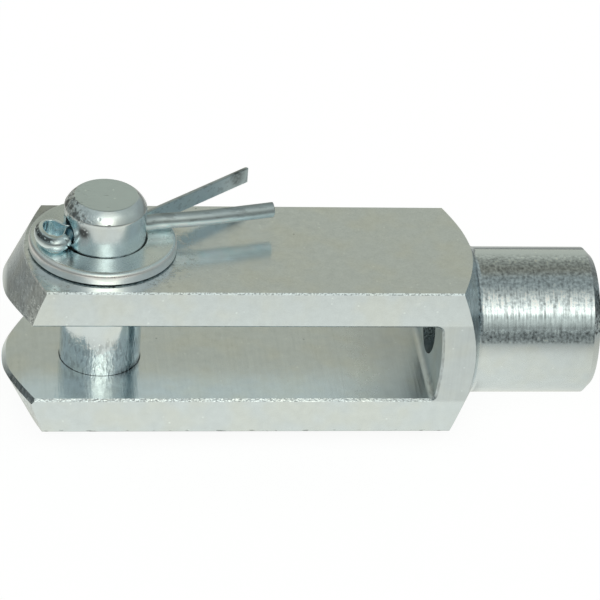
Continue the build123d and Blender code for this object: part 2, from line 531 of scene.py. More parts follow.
@dataclass(frozen=True)
class ForkSteel(PlatedSteel):
    """The fork's plating: drawn flats, a milled slot, turned cones and shank, knocked edges."""

    shank: TurnedShank = TurnedShank()
    # Its regions, by place and by the way they face
    outside_z: Step = (5.2, 5.6)
    top_z: Step = (9.6, 9.9)
    front_x: Step = (4.0, 3.0)
    cone_lean: Step = (0.25, 0.45)
    cone_end_lean: Step = (0.985, 0.97)
    cone_radius: Step = (6.5, 7.0)
    edge_lean: Step = (0.2, 0.4)
    edge_z: Step = (-6.0, -5.0)
    slot_end_x: Step = (22.0, 38.0)
    deep_slot_x: Step = (30.0, 36.0)
    # Specks, and the knocked edges
    pale_specks: Specks = (0.8, 0.17, 0.14)
    pale_gain: float = 0.15
    dark_specks: Specks = (2.3, 0.17, 0.16)
    dark_gain: float = -0.3
    dent_height: float = -0.012
    gap_size: Size = (0.26, 0.22, 0.22)
    gap_noise: Step = (0.52, 0.42)
    gap_gain: float = -0.45
    lump_size: Size = (0.35, 0.22, 0.22)
    lump_height: Step = (8.0, 9.0, 0.045, 0.010)
    # The lower edge: a thin line of painted shade, nicked here and there along it
    line_z: Step = (-9.65, -9.90, 0.0, 0.35)
    nick_z: Step = (-9.45, -9.75)
    nick_size: Size = (1.1, 0.5, 0.5)
    nick_noise: Step = (0.58, 0.64)
    edge_shade_and_nick_gain: float = -0.6
    # The cones, more battered toward -Y and darker at the front, with painted shade on the upper
    # ear's cheek and a painted highlight along the brim
    battered_y: Step = (-2.0, -7.5, 0.35, 1.15)
    worn_size: Size = (0.3, 0.9, 0.9)
    worn_gain: float = 0.45
    nose_gain: float = -0.12
    cheek_z: Step = (8.5, 5.0)
    upper_ear_z: Step = (0.0, 4.0)
    cheek_shade_gain: float = -0.14
    # A painted highlight along the cone's top edge
    brim_z: Step = (9.72, 9.80)
    brim_highlight_gain: float = 0.3
    glint_size: Size = 0.30
    glint_patch: Size = 0.6
    glint_noise: Step = (0.50, 0.58)
    glint_height: float = 0.055
    # Painted shade: the slot's chamfer at the front, and the cone at the shank
    chamfer_up: Step = (0.45, 0.55)
    chamfer_z: Step = (-4.6, -4.9)
    chamfer_x: Step = (-6.6, -7.2)
    shoulder_x: Step = (40.0, 41.0)
    shoulder_z: Step = (-4.0, 8.0, 0.25, 0.6)
    darkened_gain: float = -0.4
    # The upper ear: painted shade in its back corner, a painted highlight at its front, and ragged
    # patches of painted shade round the washer
    corner_x: Step = (2.0, -8.0)
    corner_y: Step = (0.0, 8.0)
    corner_shade_gain: float = -0.42
    # A painted highlight in front of the washer, where the ear is also smoother
    highlight_patch_ball: Ball = ((0.0, -9.6, 10.0), 3.4)
    highlight_patch_gain: float = 0.17
    # Painted shade in ragged patches round the washer, which also carry knocks
    halo_radius: Step = (12.5, 10.0)
    halo_x: Step = (2.5, 5.0)
    halo_size: Size = 1.2
    halo_noise: Step = (0.35, 0.6)
    halo_shade_y: Step = (-7.0, -4.0)
    halo_shade_gain: float = -0.10
    # The slot: milled streaks, and painted shade deep in it
    streak_size: Size = (0.35, 9.0, 9.0)
    streak_gain: float = 0.06
    deep_slot_shade_gain: float = -0.10
    # Roughness
    shank_lift: float = -0.05
    cone_lift: float = 0.08
    slot_end_lift: float = 0.14
    highlight_patch_lift: float = -0.09

    def outside(self, graph: Graph, spot: Spot) -> Socket:
        """Returns 1 on the fork's outside and 0 in its slot."""
        return graph.span(graph.unsigned(spot.z), *self.outside_z)

    def off_shank(self, graph: Graph, spot: Spot) -> Socket:
        """Returns 0 on the shank and 1 elsewhere."""
        return graph.inverse(self.shank.on(graph, spot))

    def cones(self, graph: Graph, spot: Spot) -> Socket:
        """Finds the cones at the fork's front and behind its bar.

        Args:
            graph: the material's graph.
            spot: the shaded point.

        Returns:
            1 on them and 0 elsewhere.
        """
        lean = graph.unsigned(spot.facing_x)
        return graph.times(graph.between(lean, self.cone_lean, self.cone_end_lean),
                           graph.span(graph.distance(spot.y, spot.z), *self.cone_radius),
                           self.off_shank(graph, spot))

    def edge(self, graph: Graph, spot: Spot) -> Socket:
        """Finds the chamfers that run along the fork.

        Args:
            graph: the material's graph.
            spot: the shaded point.

        Returns:
            1 on them and 0 elsewhere.
        """
        lean = graph.times(graph.unsigned(spot.facing_y), graph.unsigned(spot.facing_z))
        return graph.times(graph.span(lean, *self.edge_lean), graph.span(spot.z, *self.edge_z),
                           self.off_shank(graph, spot))

    def edge_shade_and_nicks(self, graph: Graph, spot: Spot) -> Socket:
        """Finds the thin line of painted shade on the fork's lower edge, and the nicked places
        along it.

        Args:
            graph: the material's graph.
            spot: the shaded point.

        Returns:
            How dark the edge is there, from 0 to 1.
        """
        nick = graph.times(graph.span(spot.z, *self.nick_z),
                           graph.patches(spot.place, self.nick_size, self.nick_noise))
        return graph.times(graph.most(graph.span(spot.z, *self.line_z), nick),
                           self.off_shank(graph, spot))

    def darkened(self, graph: Graph, spot: Spot) -> Socket:
        """Finds the stretches of the cones with painted shade.

        Args:
            graph: the material's graph.
            spot: the shaded point.

        Returns:
            How dark the painted shade is, from 0 to 1.
        """
        chamfer = graph.times(graph.span(spot.facing_z, *self.chamfer_up),
                              graph.span(spot.z, *self.chamfer_z),
                              graph.span(spot.x, *self.chamfer_x))
        shoulder = graph.times(graph.span(spot.x, *self.shoulder_x),
                               graph.span(spot.z, *self.shoulder_z))
        return graph.times(self.cones(graph, spot), graph.add(chamfer, shoulder))

    def battered(self, graph: Graph, spot: Spot) -> Socket:
        """Returns how knocked the cones are."""
        return graph.span(spot.y, *self.battered_y)

    def highlight_patch(self, graph: Graph, spot: Spot) -> Socket:
        """Returns 1 on the upper ear's patch in front of the washer, which has a painted highlight,
        and 0 elsewhere.
        """
        return graph.times(graph.span(spot.z, *self.top_z),
                           graph.near(spot.place, *self.highlight_patch_ball))

    def halo(self, graph: Graph, spot: Spot) -> Socket:
        """Finds the ragged patches on the upper ear round the washer, which are painted shade in
        colour and knocks that glint in relief.

        Args:
            graph: the material's graph.
            spot: the shaded point.

        Returns:
            1 in them and 0 elsewhere.
        """
        patches = graph.patches(spot.place, self.halo_size, self.halo_noise)
        return graph.times(graph.span(spot.z, *self.top_z),
                           graph.span(graph.distance(spot.x, spot.y), *self.halo_radius),
                           graph.span(graph.unsigned(spot.x), *self.halo_x), patches)

    def colour(self, graph: Graph, spot: Spot) -> Socket:
        """Works out the plating's colour, with its specks and knocks, and painted highlights, shade
        and reflections.

        Args:
            graph: the material's graph.
            spot: the shaded point.

        Returns:
            The colour.
        """
        # Painted reflection tints on the shank
        base = self.shank.tinted(graph, spot, super().colour(graph, spot))
        shank, outside = self.shank.on(graph, spot), self.outside(graph, spot)
        cones, front = self.cones(graph, spot), graph.span(spot.x, *self.front_x)
        gaps = graph.patches(spot.place, self.gap_size, self.gap_noise)
        worn = graph.times(graph.ripple(spot.place, self.worn_size, detail=4.0),
                           self.battered(graph, spot))
        # Painted shade on the front cone's cheek below the brim, and a painted highlight along the
        # brim
        cheek = graph.times(cones, front, graph.span(spot.z, *self.cheek_z),
                            graph.span(spot.z, *self.upper_ear_z))
        brim = graph.times(cones, front, graph.span(spot.z, *self.brim_z))
        # Painted shade in the upper ear's back corner
        corner = graph.times(graph.span(spot.z, *self.top_z), graph.span(spot.x, *self.corner_x),
                             graph.span(spot.y, *self.corner_y))
        in_slot = graph.inverse(graph.most(outside, shank))
        return graph.scaled(base, graph.add(
            1.0,
            graph.times(graph.specks(spot.place, *self.pale_specks), self.pale_gain),
            graph.times(graph.specks(spot.place, *self.dark_specks), self.dark_gain),
            graph.times(self.edge(graph, spot), gaps, self.gap_gain),
            graph.times(cones, worn, self.worn_gain),
            graph.times(cones, front, self.nose_gain),
            graph.times(cheek, self.cheek_shade_gain),
            # painted highlight along the brim
            graph.times(brim, self.brim_highlight_gain),
            graph.times(corner, self.corner_shade_gain),
            # painted highlight in front of the washer
            graph.times(self.highlight_patch(graph, spot), self.highlight_patch_gain),
            # painted shade in ragged patches round the washer
            graph.times(self.halo(graph, spot), graph.span(spot.y, *self.halo_shade_y),
                        self.halo_shade_gain),
            graph.times(in_slot, graph.ripple(spot.place, self.streak_size), self.streak_gain),
            # painted shade deep in the slot
            graph.times(in_slot, graph.span(spot.x, *self.deep_slot_x), self.deep_slot_shade_gain),
            # the shank's painted sparkle and painted dark reflections
            self.shank.gain(graph, spot),
            # painted shade on the slot's front chamfer and the cone at the shank
            graph.times(self.darkened(graph, spot), self.darkened_gain),
            # painted shade along the lower edge, and its nicked places
            graph.times(self.edge_shade_and_nicks(graph, spot), self.edge_shade_and_nick_gain)))

    def height(self, graph: Graph, spot: Spot) -> Socket:
        """Adds up the drawn lines, milled streaks, turned grooves and knocks.

        Args:
            graph: the material's graph.
            spot: the shaded point.

        Returns:
            The height.
        """
        shank, cones = self.shank.on(graph, spot), self.cones(graph, spot)
        outside = self.outside(graph, spot)
        flat = graph.inverse(graph.most(shank, cones))
        worn = graph.most(graph.times(cones, graph.span(spot.x, *self.front_x),
                                      self.battered(graph, spot)),
                          self.halo(graph, spot))
        patches = graph.patches(spot.place, self.glint_patch, self.glint_noise, detail=3.0)
        return graph.add(
            super().height(graph, spot),
            graph.times(ToolMark.DRAWN.on(graph, spot.place), outside, flat),
            graph.times(ToolMark.MILLED.on(graph, spot.place), graph.inverse(outside), flat),
            graph.times(ToolMark.TURNED.on(graph, spot.place),
                        graph.most(self.shank.relief(graph, spot), cones)),
            self.shank.speckle(graph, spot),
            graph.times(graph.ripple(spot.place, self.lump_size), self.edge(graph, spot),
                        graph.span(spot.z, *self.lump_height)),
            graph.times(graph.specks(spot.place, *self.dark_specks), self.dent_height),
            graph.times(graph.ripple(spot.place, self.glint_size), patches, worn,
                        self.glint_height))

    def roughness(self, graph: Graph, spot: Spot) -> Socket:
        """Makes the shank smoother, and the cones and the slot's end rougher.

        Args:
            graph: the material's graph.
            spot: the shaded point.

        Returns:
            The roughness.
        """
        slot_end = graph.times(graph.inverse(self.outside(graph, spot)),
                               graph.span(spot.x, *self.slot_end_x))
        return graph.add(super().roughness(graph, spot),
                         graph.times(self.shank.on(graph, spot), self.shank_lift),
                         graph.times(self.cones(graph, spot), self.cone_lift),
                         graph.times(slot_end, self.slot_end_lift),
                         graph.times(self.highlight_patch(graph, spot), self.highlight_patch_lift))


@dataclass(frozen=True)
class PinSteel(PlatedSteel):
    """The clevis pin's plating: turned rings, a scuffed tip, wear in the slot, a few stains, and
    painted light and shade.
    """

    gloss: float = 0.19
    # The end's flat, and the sloped tip round it, with painted shade on the tip's back and a
    # painted highlight on its front
    end_tint: Colour = (0.675, 0.800, 0.855)
    end_up: Step = (0.9, 0.97)
    end_specks: Specks = (0.8, 0.16, 0.2)
    end_speck_gain: float = 0.3
    tip_z: Step = (15.4, 15.9)
    far_y: Step = (0.0, 0.3)
    far_gain: float = -0.2
    near_y: Step = (-0.45, -0.60)
    near_highlight_gain: float = 0.13
    # Scuffs, chips, knocks and dents of the tip, most of them on its -X side
    side_x: Step = (-1.5, -3.8)
    scuff_size: Size = (0.55, 0.55, 0.8)
    scuff_noise: Step = (0.48, 0.56)
    scuff_gain: float = -0.65
    chip_specks: Specks = (0.5, 0.12, 0.25)
    chip_gain: float = 1.2
    knock_z: Step = (15.4, 16.0)
    knock_specks: Specks = (1.1, 0.3, 0.35)
    knock_height: float = -0.02
    dent_x: Step = (-1.0, -3.0)
    dent_up: Step = (0.99, 0.9, 0.4, 1.0)
    dent_size: Size = 0.35
    dent_patch: Size = 0.7
    dent_noise: Step = (0.46, 0.55)
    dent_height: float = 0.09
    # A stain over the washer in a soft patch of painted shade, and a painted shadow line where the
    # pin enters the washer
    stain_ball: Ball = ((-2.8, -4.1, 14.6), 1.1)
    stain_size: Size = 0.35
    stain_noise: Step = (0.30, 0.44)
    stain_gain: float = -0.66
    dim_ball: Ball = ((-3.0, -4.0, 14.4), 2.0)
    dim_shade_gain: float = -0.22
    # A painted shadow line where the pin enters the washer
    foot_z: Step = (11.88, 11.70)
    foot_low_z: Step = (9.0, 10.0)
    foot_size: Size = 0.5
    foot_shadow_gain: float = -1.1
    # Wear between the ears, and painted shade near the lower ear
    rubbed_z: Step = (0.8, -1.0)
    rubbed_low_z: Step = (-8.0, -7.0)
    rubbed_y: Step = (0.0, -0.3)
    rubbed_gain: float = -0.07
    score_specks: Specks = (0.55, 0.16, 0.3)
    score_gain: float = 0.3
    darkened_size: Size = (0.4, 0.4, 1.2)
    darkened_noise: Step = (0.50, 0.60)
    darkened_gain: float = -0.22
    shade_z: Step = (-3.9, -5.1)
    shade_low_z: Step = (-7.0, -6.0)
    shade_x: Step = (0.5, 3.2)
    shade_gain: float = -0.5
    groove_z: Step = (0.5, -2.0)
    groove_low_z: Step = (-10.0, -9.0)
    groove_size: Size = (0.35, 0.35, 0.9)
    groove_height: float = 0.045
    inside_z: Step = (7.5, 7.0)
    inside_lift: float = -0.09

    def colour(self, graph: Graph, spot: Spot) -> Socket:
        """Works out the plating's colour, cooler on the pin's end, darker in the scuffs, with
        painted light and shade on the tip and painted shade and shadow lower down.

        Args:
            graph: the material's graph.
            spot: the shaded point.

        Returns:
            The colour.
        """
        end = graph.span(spot.facing_z, *self.end_up)
        base = graph.mix(end, super().colour(graph, spot), rgba(self.end_tint))
        tip = graph.times(graph.span(spot.z, *self.tip_z), graph.inverse(end))
        side = graph.span(spot.x, *self.side_x)
        scuff = graph.patches(spot.place, self.scuff_size, self.scuff_noise, detail=5.0,
                              roughness=0.6)
        stained = graph.patches(spot.place, self.stain_size, self.stain_noise, detail=3.0)
        stain = graph.times(graph.near(spot.place, *self.stain_ball), stained)
        rubbed = graph.times(graph.between(spot.z, self.rubbed_z, self.rubbed_low_z),
                             graph.span(spot.facing_y, *self.rubbed_y))
        darkened = graph.patches(spot.place, self.darkened_size, self.darkened_noise, detail=4.0)
        foot = graph.between(spot.z, self.foot_z, self.foot_low_z)
        shade = graph.times(graph.between(spot.z, self.shade_z, self.shade_low_z),
                            graph.span(spot.x, *self.shade_x))
        return graph.scaled(base, graph.add(
            1.0,
            graph.times(graph.specks(spot.place, *self.end_specks), end, self.end_speck_gain),
            graph.times(scuff, tip, side, self.scuff_gain),
            # painted shade on the tip's back, and a painted highlight on its front
            graph.times(tip, graph.span(spot.facing_y, *self.far_y), self.far_gain),
            graph.times(tip, graph.span(spot.facing_y, *self.near_y), self.near_highlight_gain),
            graph.times(stain, self.stain_gain),
            # painted shade round the stain
            graph.times(graph.near(spot.place, *self.dim_ball), self.dim_shade_gain),
            graph.times(rubbed, self.rubbed_gain),
            graph.times(rubbed, graph.specks(spot.place, *self.score_specks), self.score_gain),
            graph.times(rubbed, darkened, self.darkened_gain),
            # painted shadow where the pin enters the washer
            graph.times(foot, graph.noise(spot.place, self.foot_size), self.foot_shadow_gain),
            # painted shade near the lower ear
            graph.times(shade, self.shade_gain),
            graph.times(graph.specks(spot.place, *self.chip_specks), tip, side, self.chip_gain)))

    def height(self, graph: Graph, spot: Spot) -> Socket:
        """Adds up fine rings round the pin, a knocked tip and scores in the slot.

        Args:
            graph: the material's graph.
            spot: the shaded point.

        Returns:
            The height.
        """
        tip = graph.span(spot.z, *self.knock_z)
        dented = graph.times(tip, graph.span(spot.x, *self.dent_x),
                             graph.span(spot.facing_z, *self.dent_up))
        patches = graph.patches(spot.place, self.dent_patch, self.dent_noise, detail=3.0)
        knocks = graph.add(
            graph.times(graph.specks(spot.place, *self.knock_specks), tip, self.knock_height),
            graph.times(graph.ripple(spot.place, self.dent_size), dented, patches,
                        self.dent_height))
        grooved = graph.between(spot.z, self.groove_z, self.groove_low_z)
        grooves = graph.times(graph.ripple(spot.place, self.groove_size, detail=4.0),
                              self.groove_height, grooved)
        return graph.add(super().height(graph, spot), ToolMark.RINGS.on(graph, spot.place),
                         knocks, grooves)

    def roughness(self, graph: Graph, spot: Spot) -> Socket:
        """Returns the roughness, lower between the ears, where the pin is polished by wear."""
        inside = graph.span(graph.unsigned(spot.z), *self.inside_z)
        return graph.add(super().roughness(graph, spot), graph.times(inside, self.inside_lift))


@dataclass(frozen=True)
class WasherSteel(PlatedSteel):
    """The washer's plating: stamped, then tumbled soft round its rim, with a painted highlight on
    the rim and painted shade and shadow round it.
    """

    tint: Colour = (0.835, 0.945, 0.975)
    warm_tint: Colour = (0.870, 0.940, 0.905)
    gloss: float = 0.25
    # A painted highlight on the rim, by the way it faces
    rim_up: Step = (0.9, 0.4)
    rim_highlight_gain: float = 0.34
    bead_size: Size = (0.22, 0.22, 0.5)
    bead_gain: float = 0.14
    # Painted shade at the front and back of the top, and a painted highlight at its front left
    front_ball: Ball = ((0.0, -6.6, 12.0), 4.5)
    front_shade_gain: float = -0.20
    side_ball: Ball = ((-5.8, -5.8, 12.0), 3.0)
    side_highlight_gain: float = 0.19
    back_x: Step = (-2.0, -6.0)
    back_y: Step = (-1.0, 3.0)
    back_shade_gain: float = -0.22
    # A painted shadow in the crevice under the rim
    crevice_z: Step = (10.25, 10.21)
    crevice_shadow_depth: float = 0.97
    crevice_beads: float = 0.6
    torn_up: Step = (0.95, 0.6)
    rim_lift: Step = (0.99, 0.6, 0.0, 0.04)

    def colour(self, graph: Graph, spot: Spot) -> Socket:
        """Works out the plating's colour: a beaded rim with a painted highlight, over a painted
        shadow in the crevice under it, and painted shade and highlight on its top.

        Args:
            graph: the material's graph.
            spot: the shaded point.

        Returns:
            The colour.
        """
        rim = graph.span(spot.facing_z, *self.rim_up)
        beads = graph.ripple(spot.place, self.bead_size, detail=1.0)
        # Painted shade at the front and back of the top, and a painted highlight at its front left
        shade = graph.add(
            graph.times(graph.near(spot.place, *self.front_ball), self.front_shade_gain),
            graph.times(graph.near(spot.place, *self.side_ball), self.side_highlight_gain),
            graph.times(graph.span(spot.x, *self.back_x), graph.span(spot.y, *self.back_y),
                        self.back_shade_gain))
        # Painted shadow in the crevice under the rim
        crevice = graph.times(
            graph.span(spot.z, *self.crevice_z),
            graph.add(self.crevice_shadow_depth, graph.times(beads, self.crevice_beads)))
        return graph.scaled(super().colour(graph, spot), graph.add(
            1.0,
            # painted highlight on the rim
            graph.times(rim, self.rim_highlight_gain),
            graph.times(rim, beads, self.bead_gain),
            shade,
            graph.times(crevice, -1.0)))

    def height(self, graph: Graph, spot: Spot) -> Socket:
        """Adds the torn grain of a stamped rim.

        Args:
            graph: the material's graph.
            spot: the shaded point.

        Returns:
            The height.
        """
        torn = graph.times(ToolMark.TORN.on(graph, spot.place),
                           graph.span(spot.facing_z, *self.torn_up))
        return graph.add(super().height(graph, spot), torn)

    def roughness(self, graph: Graph, spot: Spot) -> Socket:
        """Returns the roughness, a little higher round the rim."""
        return graph.add(super().roughness(graph, spot),
                         graph.span(spot.facing_z, *self.rim_lift))


@dataclass(frozen=True)
class WireSteel(PlatedSteel):
    """The split pin's plating: bright round its eye, matt and grainy on its legs, with painted
    light and shade on the legs and a painted dark reflection on the eye.
    """

    tint: Colour = (0.800, 0.925, 0.975)
    warm_tint: Colour = (0.820, 0.930, 0.940)
    legs_x: Step = (3.0, 5.0)
    leg_lift: float = 0.22
    # Painted shade on the legs' upper sides and on the back leg's front, and painted light on the
    # legs' lower sides
    upper_up: Step = (0.0, 0.35)
    back_leg_y: Step = (2.0, 3.0)
    back_leg_up: Step = (-0.7, -0.3)
    upper_shade_gain: float = -0.35
    under_up: Step = (0.25, -0.2)
    under_light_gain: float = 0.24
    scuff_size: Size = (2.2, 0.5, 0.5)
    scuff_noise: Step = (0.54, 0.64)
    scuff_gain: float = -0.14
    # The back leg's far end, and the mark of the pliers on it
    far_x: Step = (7.0, 16.0)
    far_y: Step = (4.5, 8.0)
    far_gain: float = -0.02
    pinch_ball: Ball = ((16.9, 11.4, 13.3), 1.7)
    pinch_size: Size = 0.4
    pinch_gain: float = -0.6
    # A painted dark reflection in a streak round the eye
    streak_x: Step = (-5.2, -6.8)
    streak_z: Step = (13.25, 13.42)
    streak_top_z: Step = (13.80, 13.68)
    streak_up: Step = (0.25, 0.45)
    streak_size: Size = 0.35
    streak_noise: Step = (0.32, 0.48)
    streak_gain: float = -0.85

    def colour(self, graph: Graph, spot: Spot) -> Socket:
        """Works out the colour: scuffed legs with painted shade above and painted light below, a
        pinched end, and a painted dark reflection round the eye.

        Args:
            graph: the material's graph.
            spot: the shaded point.

        Returns:
            The colour.
        """
        legs = graph.span(spot.x, *self.legs_x)
        upper = graph.most(graph.span(spot.facing_z, *self.upper_up),
                           graph.times(graph.span(spot.y, *self.back_leg_y),
                                       graph.span(spot.facing_z, *self.back_leg_up)))
        scuffs = graph.patches(spot.place, self.scuff_size, self.scuff_noise, detail=3.0)
        far = graph.times(graph.span(spot.x, *self.far_x), graph.span(spot.y, *self.far_y))
        pinched = graph.times(graph.near(spot.place, *self.pinch_ball),
                              graph.noise(spot.place, self.pinch_size, detail=4.0))
        streak = graph.times(graph.span(spot.x, *self.streak_x),
                             graph.span(spot.z, *self.streak_z),
                             graph.span(spot.z, *self.streak_top_z),
                             graph.span(spot.facing_z, *self.streak_up))
        ragged = graph.patches(spot.place, self.streak_size, self.streak_noise)
        return graph.scaled(super().colour(graph, spot), graph.add(
            1.0,
            # painted shade on the legs' upper sides
            graph.times(legs, upper, self.upper_shade_gain),
            graph.times(far, self.far_gain),
            graph.times(scuffs, legs, self.scuff_gain),
            # painted light on the legs' lower sides
            graph.times(legs, graph.span(spot.facing_z, *self.under_up), self.under_light_gain),
            graph.times(pinched, self.pinch_gain),
            # painted dark reflection round the eye
            graph.times(streak, ragged, self.streak_gain)))

    def height(self, graph: Graph, spot: Spot) -> Socket:
        """Returns the height, with lines drawn along the wire."""
        return graph.add(super().height(graph, spot), ToolMark.WIRE.on(graph, spot.place))

    def roughness(self, graph: Graph, spot: Spot) -> Socket:
        """Returns the roughness, higher on the legs."""
        return graph.add(super().roughness(graph, spot),
                         graph.span(spot.x, *self.legs_x, 0.0, self.leg_lift))


# ---------------------------------------------------------------- rod thread


@dataclass
class RodThread:
    """The helical ridges of the rod thread, inside the fork's plain bore."""

    pitch: float = 1.5 * MM
    flank_angle: float = 30.0
    major_r: float = 5.0 * MM
    minor_r: float = 4.19 * MM
    crest: float = 0.375 * MM
    seat: float = 0.03 * MM
    first_x: float = 45.9 * MM
    last_x: float = 60.6 * MM
    mouth_x: float = 60.0 * MM
    mouth_r: float = 5.5 * MM
    steps_per_turn: int = 64

    def ridges(self) -> bpy.types.Object:
        """Turns one ridge section into a closed helix.

        Returns:
            The ridges, still longer than the bore.
        """
        deselect_all()
        outer_r = self.major_r + self.seat
        flank = (outer_r - self.minor_r) * math.tan(math.radians(self.flank_angle))
        base = self.crest + 2 * flank
        bpy.ops.mesh.primitive_plane_add(size=1.0)
        made = named("rod_thread")
        corners = ((-base / 2, outer_r), (base / 2, outer_r),
                   (-self.crest / 2, self.minor_r), (self.crest / 2, self.minor_r))
        for vertex, (along, radius) in zip(made.data.vertices, corners):
            vertex.co = (self.first_x + along, 0.0, radius)
        turns = (self.last_x - self.first_x) / self.pitch
        screw = made.modifiers.new("helix", "SCREW")
        screw.axis = "X"
        screw.angle = math.tau * turns
        screw.screw_offset = self.pitch * turns
        screw.steps = screw.render_steps = round(self.steps_per_turn * turns)
        apply_modifiers(made)
        close_and_face_out(made)
        return made

    def mouth(self) -> bpy.types.Object:
        """Makes the cone that clears the thread's countersunk mouth, its point inside the bore.

        Returns:
            The cone, whose wide end stands past the shank.
        """
        deselect_all()
        bpy.ops.mesh.primitive_cone_add(vertices=4 * self.steps_per_turn, radius1=2 * self.mouth_r,
                                        depth=2 * self.mouth_r, location=(self.mouth_x, 0, 0),
                                        rotation=(0, -math.pi / 2, 0))
        return named("mouth")

    def build(self) -> bpy.types.Object:
        """Cuts the ridges to the thread's countersunk mouth.

        Returns:
            The ridges as one closed mesh.
        """
        made = self.ridges()
        cutter = self.mouth()
        cut = made.modifiers.new("mouth", "BOOLEAN")
        cut.operation = "DIFFERENCE"
        cut.object = cutter
        apply_modifiers(made)
        bpy.data.objects.remove(cutter)
        return made


def deselect_all() -> None:
    """Leaves nothing selected, so that an operator acts only on what follows."""
    bpy.ops.object.select_all(action="DESELECT")


def named(name: str) -> bpy.types.Object:
    """Names the object that an operator has just added.

    Args:
        name: its new name.

    Returns:
        The object.
    """
    made = bpy.context.object
    made.name = made.data.name = name
    return made


def apply_modifiers(piece: bpy.types.Object) -> None:
    """Applies a new piece's modifiers in order.

    Args:
        piece: the piece.
    """
    bpy.context.view_layer.objects.active = piece
    for name in [modifier.name for modifier in piece.modifiers]:
        bpy.ops.object.modifier_apply(modifier=name)


def close_and_face_out(piece: bpy.types.Object) -> None:
    """Caps a new piece's open ends, which have four sides, and turns its faces outward.

    Args:
        piece: the piece.
    """
    deselect_all()
    piece.select_set(True)
    bpy.context.view_layer.objects.active = piece
    bpy.ops.object.mode_set(mode="EDIT")
    bpy.ops.mesh.select_all(action="SELECT")
    bpy.ops.mesh.remove_doubles(threshold=MERGE_DISTANCE)
    bpy.ops.mesh.fill_holes(sides=4)
    bpy.ops.mesh.normals_make_consistent(inside=False)
    bpy.ops.object.mode_set(mode="OBJECT")


# ---------------------------------------------------------------- studio


@dataclass(frozen=True)
class Sky:
    """Levels of the studio's walls and ceiling by height over the horizon, in degrees."""

    centre: Levels = ((0, 0.20), (4, 0.16), (9, 0.16), (14, 0.25), (19, 0.42), (24, 0.50),
                      (33, 0.60), (38, 0.70), (43, 0.90), (48, 1.14), (54, 0.88), (62, 0.76),
                      (72, 0.49), (83, 0.36), (90, 0.30))
    left: Levels = ((0, 0.24), (7, 0.18), (17, 0.22), (25, 0.36), (32, 0.44), (44, 0.40),
                    (55, 0.42), (66, 0.45), (78, 0.38), (90, 0.32))
    right: Levels = ((0, 0.31), (16, 0.33), (24, 0.38), (32, 0.42), (66, 0.42), (76, 0.35),
                     (90, 0.32))
    back: Levels = ((0, 0.50), (10, 0.46), (30, 0.45), (34, 0.45), (39, 0.32), (45, 0.28),
                    (62, 0.25), (76, 0.27), (90, 0.32))
    key: Levels = ((0, 0.0), (16, 0.0), (25, 0.65), (33, 1.58), (41, 0.80), (50, 0.0), (90, 0.0))
    centre_tint: Colour = (0.97, 1.0, 0.93)
    side_tint: Colour = (0.90, 1.0, 0.97)
    back_tint: Colour = (1.035, 1.03, 0.865)
    key_tint: Colour = (1.04, 1.0, 0.86)
    left_to_right_x: Step = (-0.05, 0.05)
    # In degrees from the front, and to the right if above 0: where the sides and the back begin,
    # and the key light's middle and half width
    left_from: Step = (-10.0, -48.0)
    right_from: Step = (20.0, 70.0)
    back_from: Step = (132.0, 160.0)
    key_azimuth: float = 2.0
    key_width: float = 32.0

    def paint(self, graph: Graph, direction: Socket) -> Socket:
        """Returns the sky's colour in a direction.

        Args:
            graph: the world's graph.
            direction: the direction, as a vector of length 1.

        Returns:
            A bright front with a soft key light in it, darker sides and a warm back.
        """
        x, y, z = graph.parts(direction)
        height = graph.math("DIVIDE", graph.math("ARCSINE", z), math.pi / 2)
        turn = graph.math("ARCTAN2", x, graph.times(y, -1.0))
        degrees = graph.math("DEGREES", turn)
        swing = graph.math("DEGREES", graph.unsigned(turn))
        sides = graph.mix(graph.span(x, *self.left_to_right_x),
                          self.read(graph, height, self.left, self.side_tint),
                          self.read(graph, height, self.right, self.side_tint))
        aside = graph.add(graph.span(degrees, *self.left_from),
                          graph.span(degrees, *self.right_from))
        front = graph.mix(aside, self.read(graph, height, self.centre, self.centre_tint), sides)
        room = graph.mix(graph.span(swing, *self.back_from), front,
                         self.read(graph, height, self.back, self.back_tint))
        off = graph.unsigned(graph.math("SUBTRACT", degrees, self.key_azimuth))
        key = graph.scaled(self.read(graph, height, self.key, self.key_tint),
                           graph.span(off, self.key_width, 0.0))
        return graph.node("VectorMath", {0: key, 1: room}, operation="ADD").outputs[0]

    def read(self, graph: Graph, height: Socket, levels: Levels, tint: Colour) -> Socket:
        """Returns a wall's colour at a height, from 0 at the horizon to 1 overhead."""
        return graph.ramp(height, [(degrees / 90, level) for degrees, level in levels], tint)


